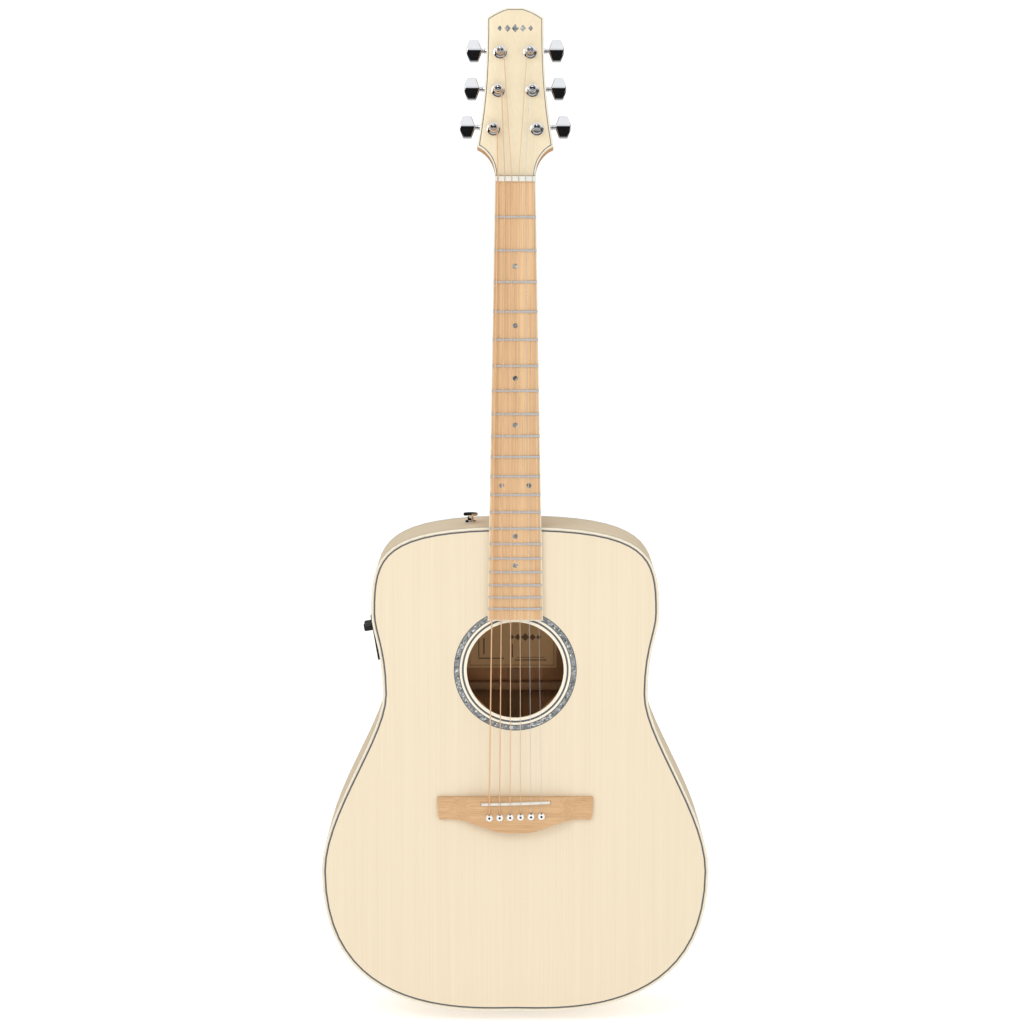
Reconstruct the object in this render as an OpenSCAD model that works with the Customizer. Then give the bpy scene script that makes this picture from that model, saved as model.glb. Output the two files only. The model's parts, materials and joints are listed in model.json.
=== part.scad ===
// Steel-string electro-acoustic guitar, dreadnought body, 14 frets to the body.
// Frame: +Z runs up the neck, -Y is the front (soundboard side), +X the treble side.
// The origin is the centre of the output jack's mouth at the tail end.

/* [Body] */
// Body length along Z
body_len = 520.4; // [516:0.1:524]
// Full width of the lower bout
lower_bout = 410.4; // [404:0.1:414]
// Full width of the waist
waist_width = 278.8; // [274:0.1:284]
// Full width of the upper bout
upper_bout = 302.6; // [298:0.1:308]
// Depth at the tail end
tail_depth = 120; // [118:1:124]
// Depth at the neck joint
heel_depth = 100; // [98:1:103]
// Soundboard thickness
top_t = 3; // [2.8:0.1:3.2]
// Back plate thickness
back_t = 2.8; // [2.6:0.1:3]
// Bent side thickness
side_t = 2.4; // [2.2:0.1:2.6]
// Soundhole diameter
hole_d = 102.2; // [100:0.1:103]

/* [Neck] */
// Scale length, nut to saddle
scale_len = 650; // [648:1:652]
// Width across the nut
nut_w = 42; // [41:0.5:43]
// Fretboard width at its lower end
board_end_w = 58; // [57:0.1:59]
// Fretboard thickness at its centre line
board_t = 6.4; // [6:0.1:6.8]
// Backward tilt of the headstock in degrees
head_angle = 14; // [13:0.5:15]
// Headstock wood thickness
head_t = 15; // [14.5:0.5:15.5]

/* [Hardware] */
// Gear ratio of each tuning machine, which is its gear's tooth count
gear_teeth = 16; // [16:1:16]
// Bore of the output jack
jack_bore = 6.5; // [6.4:0.05:6.6]

/* [Hidden] */

// Levels along Z and Y
tail_z = 12;
body_top_z = tail_z + body_len;
nut_z = body_top_z + scale_len * (1 - pow(2, -14 / 12)) - 0.7;
face_y = -60;
board_y = face_y - board_t;
camber_r = 400;
fret_h = 1.1;
fine = 96;
round_fn = 720;

// Back: one sphere that gives the taper and the arch together
back_r = 4600;
back_mid_z = (tail_z + body_top_z) / 2 - back_r * (tail_depth - heel_depth) / body_len;
back_mid_y = face_y + tail_depth + pow(tail_z - back_mid_z, 2) / (2 * back_r) - back_r;

// Edge work
bind_w = 2.4;
bind_h = 6;
glue = 0.1;
lining_w = 6;
lining_h = 14;
purf_in = 2.7;
purf_out = 4.3;
purf_depth = 1.2;

// Soundhole and rosette radii
hole_z = nut_z - 511.4;
hole_r = hole_d / 2;
thin_ring = [54.2, 56.2];
band_ring = [59.5, 63.8];
band_edge = 0.9;
rosette_depth = 1.2;

// Blocks and bracing
neck_block_hw = 56;
neck_block_d = 40;
tail_block_hw = 38;
tail_block_d = 20;
tenon_hw = 10;
tenon_d = 14;
tenon_y = 20;
brace_w = 8;
brace_h = 15;
x_cross_z = nut_z - 590;
transverse_s = 432;
transverse_z = nut_z - transverse_s;
back_brace_z = [nut_z - 425, nut_z - 546, nut_z - 655, nut_z - 770];
label_x = [-52, 45];
label_s = [458, 528];

// Neck and fretboard
board_end_s = 458;
board_bind = 1.1;
neck_depth = 15;
neck_depth_low = 18;
heel_start_s = 300;
heel_full_s = 340;
heel_tip = 118;
heel_cap_y = 38.5;
heel_cap_t = 2;
rod_y = -50.5;
rod_r = 2.4;
rod_end_z = nut_z - 408;
truss_nut_z = [nut_z - 414, nut_z - 401];
truss_nut_r = 4.4;
nut_len = 5.5;
fret_count = 20;
fret_w = 2.3;
tang_w = 0.6;
tang_d = 1.8;
dot_r = 2.65;
dot_frets = [3, 5, 7, 9, 15, 17];
octave_dot_x = 14.1;

// Headstock, measured from the nut's back edge along the tilted face
head_z = nut_z + nut_len;
overlay_t = 1.8;
head_bind = 1.6;
head_line = 0.6;
post_at = [[15.5, 130.5], [17.8, 89.8], [22.4, 49]];
sleeve_r = 4.5;
post_r = 3;
post_top = -14.5;
mesh_dist = 7.3;
worm_y = 20;
gear_r = 5.3;
tooth_amp = 0.3;
worm_r = 1.65;
worm_turns = 3;
gear_t = 3.6;
worm_lead = 2 * PI * (mesh_dist - worm_r) / gear_teeth;
key_r = 1.5;
button_x = 19.5;
button_w = 15.7;
button_hh = 11.7;

// Bridge
bridge_hw = 82.4;
bridge_top_s = 646.6;
bridge_t = 8.8;
wing_t = 3.8;
saddle_a = [-35.9, 653.7];
saddle_b = [36.9, 651.6];
saddle_w = 2.8;
saddle_rise = 12.3;
slot_floor = 2;
pin_first = [-27.4, 668.3];
pin_last = [27.7, 666.6];
pin_r = 2.5;
pin_head_r = 3.7;
pin_len = 28;
pin_dot_r = 1.05;
string_r = [0.67, 0.53, 0.41, 0.3, 0.2, 0.15];
string_drop = 3.2;
nut_span = 35.8;

// Preamp: set on the bass side, in a frame whose -X points out of the side
preamp_pos = [-145.6, 0, nut_z - 479];
preamp_tilt = -9.5;
panel_z = [-24, 23.5];
panel_y = [-44, 20];
panel_out = -3.4;
panel_back = 3;
knob_z = 10.8;
volume_y = -32;
tone_y = -14;
button_y = 6;
knob_r = 4.3;
knob_out = -12.9;
shaft_r = 1.5;
door_y = [-38, 14];
door_z = [-21.5, -3];
door_t = 1.8;
door_gap = 0.35;
hinge_x = -2.3;
hinge_z = -20.5;

// Strap button, on the shoulder beside the heel
strap_x = 47.3;
strap_y = -13;
strap_z = body_top_z - 1.3;

// ---- Curves ----
function bez(p, t) = pow(1 - t, 3) * p[0] + 3 * t * pow(1 - t, 2) * p[1]
  + 3 * t * t * (1 - t) * p[2] + pow(t, 3) * p[3];
function bez_dir(p, t) = let (d = pow(1 - t, 2) * (p[1] - p[0]) + 2 * t * (1 - t) * (p[2] - p[1])
  + t * t * (p[3] - p[2])) d / norm(d);
function bez_run(p, n, off, from) = [for (k = [from : n]) let (t = k / n, d = bez_dir(p, t))
  bez(p, t) + off * [-d[1], d[0]]];

// Right half of the body's outline in X and Z, from the tail up to the neck
low_z = tail_z + 152.1;
waist_z = tail_z + 342.7;
high_z = tail_z + 429.3;
body_curves = [
  [[0, tail_z], [42.2, tail_z], [lower_bout / 2, low_z - 165.8], [lower_bout / 2, low_z]],
  [[lower_bout / 2, low_z], [lower_bout / 2, low_z + 62.4], [waist_width / 2, waist_z - 45.3],
    [waist_width / 2, waist_z]],
  [[waist_width / 2, waist_z], [waist_width / 2, waist_z + 48.7], [upper_bout / 2, high_z - 21.2],
    [upper_bout / 2, high_z]],
  [[upper_bout / 2, high_z], [upper_bout / 2, high_z + 62.1], [142.3, body_top_z], [0, body_top_z]]];
curve_steps = [22, 13, 7, 16];
function half_body(off) = [for (i = [0 : 3]) each bez_run(body_curves[i], curve_steps[i], off,
  i == 0 ? 0 : 1)];
function both(half) = concat(half, [for (k = [len(half) - 2 : -1 : 1]) [-half[k][0], half[k][1]]]);

// Half of the headstock's outline in X and distance from the nut's back edge, set in from its rim by d
function head_curves(d) = [
  [[20.8 - d, 0], [20.8 - d, 15.5 + 0.4 * d], [29.6 - 0.6 * d, 26.6 + 0.8 * d],
    [39.4 - 1.3 * d, 30.6 + 0.85 * d]],
  [[39.4 - 1.3 * d, 30.6 + 0.85 * d], [30.2 - d, 85], [29.3 - d, 120], [29.3 - d, 167.3 - 0.6 * d]],
  [[29.3 - d, 167.3 - 0.6 * d], [22 - 0.6 * d, 172.2 - 0.85 * d], [15.6 - 0.5 * d, 175.7 - 0.9 * d],
    [7.9 - 0.3 * d, 177.9 - d]]];
function head_half(d) = [for (i = [0 : 2]) each bez_run(head_curves(d)[i], 8, 0, i == 0 ? 0 : 1)];
function head_outline(d) = let (h = head_half(d))
  concat(h, [for (k = [len(h) - 1 : -1 : 0]) [-h[k][0], h[k][1]]]);

function fret_s(n) = scale_len * (1 - pow(2, -n / 12));
function board_hw(s) = nut_w / 2 + (board_end_w - nut_w) / 2 * s / board_end_s;
function camber(x) = camber_r - sqrt(camber_r * camber_r - x * x);
function pin_xy(i) = pin_first + (pin_last - pin_first) * i / 5;
function nut_x(i) = -nut_span / 2 + nut_span * i / 5;
function saddle_s(x) = saddle_a[1] + (saddle_b[1] - saddle_a[1]) * (x - saddle_a[0])
  / (saddle_b[0] - saddle_a[0]);
// Place on the tilted headstock: across, behind its face, and up from the nut
function head_pt(x, back, up) = [x, face_y + back * cos(head_angle) + up * sin(head_angle),
  head_z - back * sin(head_angle) + up * cos(head_angle)];
function preamp_pt(p) = preamp_pos + [p[0] * cos(preamp_tilt) + p[2] * sin(preamp_tilt), p[1],
  p[2] * cos(preamp_tilt) - p[0] * sin(preamp_tilt)];

// ---- Shared shapes ----
// A flat outline in X and Z, given thickness from y0 to y1
module slab(y0, y1) {
  translate([0, y1, 0]) rotate([90, 0, 0]) linear_extrude(y1 - y0) children();
}
module rod_y_axis(x, z, r, y0, y1, sides = fine) {
  translate([x, y0, z]) rotate([-90, 0, 0]) cylinder(r = r, h = y1 - y0, $fn = sides);
}
module cone_y_axis(x, z, y0, y1, r0, r1) {
  translate([x, y0, z]) rotate([-90, 0, 0]) cylinder(r1 = r0, r2 = r1, h = y1 - y0, $fn = fine);
}
module box(lo, hi) {
  translate(lo) cube(hi - lo);
}
module body_shape(off) {
  polygon(both(half_body(off)));
}
module edge_ring(off0, off1) {
  difference() {
    body_shape(off0);
    body_shape(off1);
  }
}
module back_ball(inset) {
  translate([0, back_mid_y, back_mid_z]) sphere(back_r - inset, $fn = 720);
}
module camber_rod(rise) {
  translate([0, board_y - rise + camber_r, 0]) cylinder(r = camber_r, h = nut_z + 50, $fn = round_fn);
}
module on_head() {
  translate([0, face_y, head_z]) rotate([-head_angle, 0, 0]) children();
}
module on_preamp() {
  translate(preamp_pos) rotate([0, preamp_tilt, 0]) children();
}
// A closed skin over rings that all have the same number of points
module skin(rings) {
  n = len(rings[0]);
  last = len(rings) - 1;
  faces = concat([[for (j = [0 : n - 1]) j]],
    [for (i = [0 : last - 1], j = [0 : n - 1]) [i * n + j, (i + 1) * n + j, (i + 1) * n + (j + 1) % n]],
    [for (i = [0 : last - 1], j = [0 : n - 1]) [i * n + j, (i + 1) * n + (j + 1) % n, i * n + (j + 1) % n]],
    [[for (j = [n - 1 : -1 : 0]) last * n + j]]);
  polyhedron(points = [for (r = rings) each r], faces = faces, convexity = 6);
}
function unit(v) = v / norm(v);
function path_dir(p, i) = unit(i == 0 ? p[1] - p[0] : i == len(p) - 1 ? p[i] - p[i - 1]
  : unit(p[i + 1] - p[i]) + unit(p[i] - p[i - 1]));
// A round tube along a path; side is a direction the path never follows
module tube(path, r, side = [1, 0, 0], n = 8) {
  skin([for (i = [0 : len(path) - 1]) let (t = path_dir(path, i), a = unit(side - (side * t) * t),
    b = cross(t, a)) [for (j = [0 : n - 1]) path[i] + r * (cos(360 * j / n) * a + sin(360 * j / n) * b)]]);
}

// ---- Body ----
module pin_holes(y0, y1) {
  for (i = [0 : 5]) {
    rod_y_axis(pin_xy(i)[0], nut_z - pin_xy(i)[1], pin_r + 0.05, y0, y1);
    rod_y_axis(pin_xy(i)[0], nut_z - pin_xy(i)[1] + string_drop, 1, y0, y1);
  }
  rod_y_axis(-33, nut_z - 653.6, 1.6, y0, y1);
}
module soundboard() {
  color([0.95, 0.89, 0.78]) difference() {
    slab(face_y, face_y + top_t) body_shape(bind_w);
    rod_y_axis(0, hole_z, hole_r, face_y - 1, face_y + top_t + 1, 180);
    slab(face_y - 1, face_y + purf_depth) edge_ring(purf_in, purf_out);
    rosette_ring(thin_ring[0], thin_ring[1], 1);
    rosette_ring(band_ring[0] - band_edge, band_ring[1] + band_edge, 1);
    pin_holes(face_y - 1, face_y + top_t + 1);
  }
}
module rosette_ring(r0, r1, lift = 0) {
  difference() {
    rod_y_axis(0, hole_z, r1, face_y - lift, face_y + rosette_depth, 180);
    rod_y_axis(0, hole_z, r0, face_y - lift - 1, face_y + rosette_depth + 1, 180);
  }
}
module rosette() {
  color([0.5, 0.51, 0.52]) rosette_ring(band_ring[0], band_ring[1]);
}
module rosette_lines() {
  color([0.25, 0.25, 0.26]) {
    rosette_ring(thin_ring[0], thin_ring[1]);
    rosette_ring(band_ring[0] - band_edge, band_ring[0]);
    rosette_ring(band_ring[1], band_ring[1] + band_edge);
  }
}
module top_purfling() {
  color([0.35, 0.35, 0.36]) slab(face_y, face_y + purf_depth) edge_ring(purf_in, purf_out);
}
module back_plate() {
  color([0.76, 0.66, 0.5]) difference() {
    intersection() {
      slab(20, face_y + tail_depth + 5) body_shape(bind_w);
      back_ball(0);
    }
    back_ball(back_t);
  }
}
module side_wall() {
  difference() {
    intersection() {
      slab(face_y + bind_h, face_y + tail_depth) edge_ring(0, side_t);
      back_ball(bind_h + glue);
    }
    box([-tenon_hw, face_y, body_top_z - 10], [tenon_hw, tenon_y, body_top_z + 1]);
    rod_z(0, 0, 4.8, 0, 20);
    rod_z(-strap_x, strap_y, 2.1, strap_z - 8, strap_z + 1);
    on_preamp() box([-20, panel_y[0] + 3, panel_z[0] + 3], [20, panel_y[1] - 3, panel_z[1] - 3]);
  }
}
module rod_z(x, y, r, z0, z1, sides = fine) {
  translate([x, y, z0]) cylinder(r = r, h = z1 - z0, $fn = sides);
}
module side_bass() {
  color([0.8, 0.73, 0.61]) intersection() {
    side_wall();
    box([-300, -100, -10], [0, 100, 600]);
  }
}
module side_treble() {
  color([0.8, 0.73, 0.61]) intersection() {
    side_wall();
    box([0, -100, -10], [300, 100, 600]);
  }
}
module top_binding() {
  color([0.95, 0.93, 0.85]) slab(face_y, face_y + bind_h) edge_ring(0, bind_w);
}
module back_binding() {
  color([0.95, 0.93, 0.85]) difference() {
    intersection() {
      slab(10, face_y + tail_depth + 5) edge_ring(0, bind_w);
      back_ball(0);
    }
    back_ball(bind_h);
  }
}
module linings() {
  color([0.82, 0.7, 0.5]) difference() {
    union() {
      slab(face_y + top_t, face_y + top_t + lining_h) edge_ring(bind_w, bind_w + lining_w);
      difference() {
        intersection() {
          slab(0, face_y + tail_depth + 5) edge_ring(bind_w, bind_w + lining_w);
          back_ball(back_t);
        }
        back_ball(back_t + lining_h);
      }
    }
    neck_block_space();
    tail_block_space();
  }
}
module neck_block_space() {
  box([-neck_block_hw, -100, body_top_z - neck_block_d], [neck_block_hw, 100, body_top_z + 5]);
}
module tail_block_space() {
  box([-tail_block_hw, -100, 0], [tail_block_hw, 100, tail_z + side_t + tail_block_d]);
}
module inner_space(off) {
  intersection() {
    slab(face_y + top_t, face_y + tail_depth + 5) body_shape(off);
    back_ball(back_t + glue);
  }
}
module neck_block() {
  color([0.72, 0.5, 0.34]) difference() {
    intersection() {
      inner_space(side_t);
      neck_block_space();
    }
    box([-tenon_hw, face_y, body_top_z - tenon_d], [tenon_hw, tenon_y, body_top_z + 1]);
    rod_z(0, rod_y, rod_r + 0.1, body_top_z - neck_block_d - 1, body_top_z);
    rod_z(-strap_x, strap_y, 2.05, strap_z - 26, strap_z);
  }
}
module tail_block() {
  color([0.72, 0.5, 0.34]) difference() {
    intersection() {
      inner_space(side_t);
      tail_block_space();
    }
    rod_z(0, 0, 4.8, 0, 60);
  }
}
module top_bar(x0, s0, x1, s1, w, h) {
  len2 = norm([x1 - x0, s1 - s0]);
  translate([x0, face_y + top_t, nut_z - s0]) rotate([0, atan2(s1 - s0, x1 - x0), 0])
    translate([0, 0, -w / 2]) cube([len2, h, w]);
}
module brace_zone() {
  slab(face_y + top_t, 0) body_shape(bind_w + lining_w + 0.1);
}
module top_braces() {
  color([0.9, 0.8, 0.62]) intersection() {
    brace_zone();
    difference() {
      union() {
        top_bar(-144, 446, 190, 780, brace_w, brace_h);
        top_bar(144, 446, -190, 780, brace_w, brace_h);
        top_bar(-160, transverse_s, 160, transverse_s, 10, brace_h);
        top_bar(-96, 708, 92, 762, 7, 12);
        top_bar(-124, 768, 64, 822, 7, 12);
        for (side = [-1, 1]) {
          top_bar(side * 62, 592, side * 118, 572, 6, 8);
          top_bar(side * 66, 622, side * 140, 606, 6, 8);
        }
      }
      rod_z(0, rod_y, 5, transverse_z - 10, transverse_z + 10);
    }
  }
}
module bridge_plate() {
  color([0.86, 0.7, 0.48]) difference() {
    slab(face_y + top_t, face_y + top_t + 2.5)
      polygon([[-44, nut_z - 644], [44, nut_z - 644], [84, nut_z - 694], [-84, nut_z - 694]]);
    pin_holes(face_y, face_y + 10);
  }
}
module back_braces() {
  color([0.9, 0.8, 0.62]) {
    difference() {
      intersection() {
        inner_space(bind_w + lining_w + 0.1);
        for (z = back_brace_z) box([-220, 0, z - brace_w / 2], [220, 100, z + brace_w / 2]);
      }
      back_ball(back_t + brace_h);
    }
    difference() {
      intersection() {
        inner_space(side_t);
        box([-8, 0, tail_z + side_t + tail_block_d], [8, 100, body_top_z - neck_block_d]);
      }
      back_ball(back_t + 2);
      box([label_x[0] - 1, 0, nut_z - label_s[1] - 1], [label_x[1] + 1, 100, nut_z - label_s[0] + 1]);
    }
  }
}
module soundhole_label() {
  color([0.72, 0.58, 0.38]) difference() {
    intersection() {
      inner_space(side_t);
      box([label_x[0], 0, nut_z - label_s[1]], [label_x[1], 100, nut_z - label_s[0]]);
    }
    back_ball(back_t + 0.4);
  }
}

// ---- Neck ----
function d_ring(z, hw, depth, top) = [for (a = [0 : 10 : 180])
  [hw * cos(a), top + depth * sin(a), z]];
heel_rings = concat(
  [d_ring(body_top_z, board_hw(360), heel_tip, face_y)],
  [for (a = [90 : -15 : 0]) let (s = heel_start_s + (heel_full_s - heel_start_s) * sin(a))
    d_ring(nut_z - s, board_hw(s), heel_tip - (heel_tip - neck_depth_low) * cos(a), face_y)],
  [for (s = [260, 200, 100, 30, 0, -nut_len]) d_ring(nut_z - s, board_hw(max(s, 0)),
    neck_depth + (neck_depth_low - neck_depth) * max(s, 0) / heel_start_s, face_y)]);
volute_rings = [for (v = [[8, 19.6, 15.6], [16, 16.5, 15.7], [24, 11, 14.6], [32, 5, 12.4]])
  d_ring(head_z + v[0], v[1], v[2], face_y + v[0] * tan(head_angle) + 0.2)];
module neck() {
  color([0.8, 0.66, 0.46]) difference() {
    union() {
      intersection() {
        skin(concat(heel_rings, volute_rings));
        box([-40, face_y, body_top_z], [40, heel_cap_y, head_z + 60]);
      }
      on_head() slab(0, head_t) polygon(head_outline(0));
      box([-tenon_hw, face_y + bind_h, body_top_z - tenon_d], [tenon_hw, tenon_y, body_top_z + 1]);
    }
    box([-40, face_y - 20, body_top_z - 1], [40, face_y, head_z]);
    rod_z(0, rod_y, rod_r + 0.1, body_top_z - tenon_d - 1, nut_z - 10);
    on_head() {
      for (side = [-1, 1], p = post_at) {
        rod_y_axis(side * p[0], p[1], sleeve_r, -5, head_t + 5);
        rod_y_axis(side * p[0], p[1] - 12, 1.2, head_t - 8, head_t + 1);
      }
    }
  }
}
module heel_cap() {
  color([0.95, 0.93, 0.85]) intersection() {
    skin(heel_rings);
    box([-40, heel_cap_y, body_top_z], [40, heel_cap_y + heel_cap_t, nut_z - 300]);
  }
}
// The band of the headstock's face from d0 to d1 in from its rim, open at the nut
module head_ring(d0, d1) {
  difference() {
    polygon(head_outline(d0));
    union() {
      polygon(head_outline(d1));
      translate([-20.8 + d1, -1]) square([41.6 - 2 * d1, 1.5]);
    }
  }
}
module headstock_binding() {
  color([0.95, 0.93, 0.85]) on_head() slab(-overlay_t, 0) head_ring(0, head_bind);
}
module headstock_line() {
  color([0.3, 0.3, 0.31]) on_head() slab(-overlay_t, 0) head_ring(head_bind, head_bind + head_line);
}
module headstock_overlay() {
  color([0.95, 0.88, 0.76]) on_head() difference() {
    slab(-overlay_t, 0) polygon(head_outline(head_bind + head_line));
    for (side = [-1, 1], p = post_at)
      rod_y_axis(side * p[0], p[1], sleeve_r, -5, 5);
    slab(-overlay_t - 1, -overlay_t + 0.8) ornament();
  }
}
// A plain row of lozenges
module ornament() {
  for (k = [-2 : 2]) {
    size = 4.6 - abs(k) * 0.7;
    translate([k * 8, 156]) polygon([[-size * 0.8, 0], [0, -size], [size * 0.8, 0], [0, size]]);
  }
}
module headstock_ornament() {
  color([0.45, 0.46, 0.47]) on_head() slab(-overlay_t, -overlay_t + 0.8) ornament();
}
module board_blank(s0, s1, inset) {
  slab(board_y - 1, face_y) polygon([[-board_hw(s0) + inset, nut_z - s0],
    [board_hw(s0) - inset, nut_z - s0], [board_hw(s1) - inset, nut_z - s1],
    [-board_hw(s1) + inset, nut_z - s1]]);
}
module fret_strips(w, y0, y1, inset) {
  for (n = [1 : fret_count]) {
    hw = board_hw(fret_s(n)) - inset;
    box([-hw, y0, nut_z - fret_s(n) - w / 2], [hw, y1, nut_z - fret_s(n) + w / 2]);
  }
}
module dots(depth) {
  for (n = dot_frets)
    rod_y_axis(0, nut_z - (fret_s(n) + fret_s(n - 1)) / 2, dot_r, board_y - 2, board_y + depth);
  for (side = [-1, 1])
    rod_y_axis(side * octave_dot_x, nut_z - (fret_s(12) + fret_s(11)) / 2, dot_r, board_y - 2,
      board_y + depth);
}
module fretboard() {
  color([0.88, 0.7, 0.5]) difference() {
    intersection() {
      board_blank(0, board_end_s - board_bind, board_bind);
      camber_rod(0);
    }
    fret_strips(tang_w, board_y - 2, board_y + tang_d + 0.6, 0);
    dots(2);
  }
}
module fretboard_binding() {
  color([0.95, 0.93, 0.85]) intersection() {
    difference() {
      board_blank(0, board_end_s, 0);
      translate([0, 1, 0]) board_blank(-10, board_end_s - board_bind, board_bind);
      slab(board_y - 5, face_y + 1) polygon([[-nut_w / 2 + board_bind, nut_z + 1],
        [nut_w / 2 - board_bind, nut_z + 1],
        [board_hw(board_end_s - board_bind) - board_bind, nut_z - board_end_s + board_bind],
        [-board_hw(board_end_s - board_bind) + board_bind, nut_z - board_end_s + board_bind]]);
    }
    camber_rod(0);
  }
}
module frets() {
  color([0.75, 0.76, 0.78]) {
    difference() {
      intersection() {
        fret_strips(fret_w, board_y - 3, board_y + 2, 0.3);
        camber_rod(fret_h);
      }
      camber_rod(0);
    }
    intersection() {
      fret_strips(tang_w, board_y - 2, board_y + tang_d + 0.6, board_bind);
      camber_rod(0);
    }
  }
}
module fret_markers() {
  color([0.5, 0.52, 0.53]) intersection() {
    dots(2);
    camber_rod(0);
  }
}
function string_y(i) = board_y - fret_h + camber(nut_x(i)) - 0.45 - string_r[i];
module nut() {
  color([0.95, 0.95, 0.92]) difference() {
    intersection() {
      box([-nut_w / 2, board_y - 3, nut_z], [nut_w / 2, face_y, nut_z + nut_len]);
      camber_rod(2.6);
    }
    for (i = [0 : 5])
      box([nut_x(i) - string_r[i] - 0.05, board_y - 10, nut_z - 1],
        [nut_x(i) + string_r[i] + 0.05, string_y(i) + string_r[i] + 0.05, nut_z + nut_len + 1]);
  }
}
module truss_rod() {
  color([0.6, 0.6, 0.62]) rod_z(0, rod_y, rod_r, rod_end_z, nut_z - 10.5);
}
module truss_nut() {
  color([0.72, 0.6, 0.3]) difference() {
    rod_z(0, rod_y, truss_nut_r, truss_nut_z[0], truss_nut_z[1]);
    rod_z(0, rod_y, rod_r + 0.05, rod_end_z - 0.5, truss_nut_z[1] + 1);
    rod_z(0, rod_y, 2.3, truss_nut_z[0] - 1, rod_end_z - 0.4, 6);
  }
}

// ---- Bridge and strings ----
bridge_half = concat(
  bez_run([[0, nut_z - 685], [12, nut_z - 685], [20, nut_z - 684.2], [30, nut_z - 680.2]], 5, 0, 0),
  bez_run([[30, nut_z - 680.2], [43, nut_z - 675.4], [55, nut_z - 668.8], [79.6, nut_z - 671.2]], 6, 0, 1),
  bez_run([[79.6, nut_z - 671.2], [82.4, nut_z - 669], [81.2, nut_z - 656], [bridge_hw, nut_z - 648]],
    5, 0, 1));
module bridge() {
  half = concat(bridge_half, [[bridge_hw - 1.5, nut_z - bridge_top_s], [0, nut_z - bridge_top_s]]);
  color([0.87, 0.7, 0.5]) difference() {
    intersection() {
      slab(face_y - bridge_t, face_y) polygon(both(half));
      bridge_section();
    }
    saddle_block(saddle_w, -40, slot_floor, 0.6);
    pin_holes(face_y - bridge_t - 1, face_y + 1);
  }
}
// Full height in the middle, scooped down to thin wings
module bridge_section() {
  wing = [for (p = bez_run([[46, bridge_t], [54, bridge_t], [54, wing_t], [66, wing_t]], 8, 0, 0)) p];
  outline = concat(wing, [[86, wing_t - 0.8], [86, 0]]);
  all_pts = concat(outline, [for (k = [len(outline) - 1 : -1 : 0]) [-outline[k][0], outline[k][1]]]);
  translate([0, face_y, nut_z - 700]) linear_extrude(80) mirror([0, 1]) polygon(all_pts);
}
module saddle_block(w, top, floor, extra = 0) {
  len2 = norm(saddle_b - saddle_a) + extra;
  mid = (saddle_a + saddle_b) / 2;
  translate([mid[0], 0, nut_z - mid[1]])
    rotate([0, atan2(saddle_b[1] - saddle_a[1], saddle_b[0] - saddle_a[0]), 0])
      box([-len2 / 2, face_y + top, -w / 2], [len2 / 2, face_y - floor, w / 2]);
}
module saddle() {
  color([0.97, 0.97, 0.95]) intersection() {
    saddle_block(saddle_w, -saddle_rise, slot_floor + 1);
    translate([0, face_y - saddle_rise + camber_r, 0]) cylinder(r = camber_r, h = 400, $fn = round_fn);
  }
}
module saddle_pickup() {
  color([0.7, 0.5, 0.3]) saddle_block(saddle_w - 0.4, -slot_floor - 1, slot_floor);
}
module bridge_pins() {
  top_y = face_y - bridge_t;
  color([0.95, 0.95, 0.93]) for (i = [0 : 5]) {
    p = pin_xy(i);
    difference() {
      translate([p[0], top_y, nut_z - p[1]]) rotate([-90, 0, 0]) union() {
        cylinder(r = pin_r, h = pin_len - 4, $fn = fine);
        translate([0, 0, -1.2]) cylinder(r = pin_head_r, h = 1.2, $fn = fine);
        translate([0, 0, -2.8]) cylinder(r1 = 2.4, r2 = pin_head_r, h = 1.6, $fn = fine);
      }
      rod_y_axis(p[0], nut_z - p[1] + string_drop, 0.95, top_y - 5, top_y + 1);
      rod_y_axis(p[0], nut_z - p[1], pin_dot_r, top_y - 4, top_y - 2);
    }
  }
}
// One string: post, nut, saddle, bridge pin hole and ball end
module string(i) {
  r = string_r[i];
  x0 = nut_x(i);
  p = pin_xy(i);
  side = i < 3 ? -1 : 1;
  post = post_at[i < 3 ? 2 - i : i - 3];
  to_x = side * (post[0] - post_r - r);
  gap = sqrt(pow(post_r + 3 * r + 0.3, 2) - pow(post_r + r, 2));
  from = [x0, string_y(i), nut_z + nut_len];
  goal = head_pt(to_x, -7, post[1]);
  top_y = face_y - saddle_rise + camber(p[0]) - r - 0.04;
  s_hole = p[1] - string_drop;
  tube([from + (goal - from) * (1 - gap / norm(goal - from)), from + [0, -0.02, 0],
    [x0, string_y(i), nut_z], [p[0], top_y, nut_z - saddle_s(p[0]) + 1.6],
    [p[0], top_y, nut_z - saddle_s(p[0]) - 1.6],
    [p[0], face_y - bridge_t - 1.3, nut_z - s_hole + 1.2],
    [p[0], face_y - bridge_t - 0.3, nut_z - s_hole + 0.1], [p[0], face_y - 6, nut_z - s_hole],
    [p[0], face_y + 8, nut_z - s_hole]], r);
  translate([p[0] - 1.5, face_y + 9.5, nut_z - s_hole + 1.3]) rotate([0, 90, 0])
    cylinder(r = 1.8, h = 3, $fn = 24);
}
module wound_strings() {
  color([0.8, 0.6, 0.36]) for (i = [0 : 3]) string(i);
}
module plain_strings() {
  color([0.78, 0.79, 0.8]) for (i = [4 : 5]) string(i);
}

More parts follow.
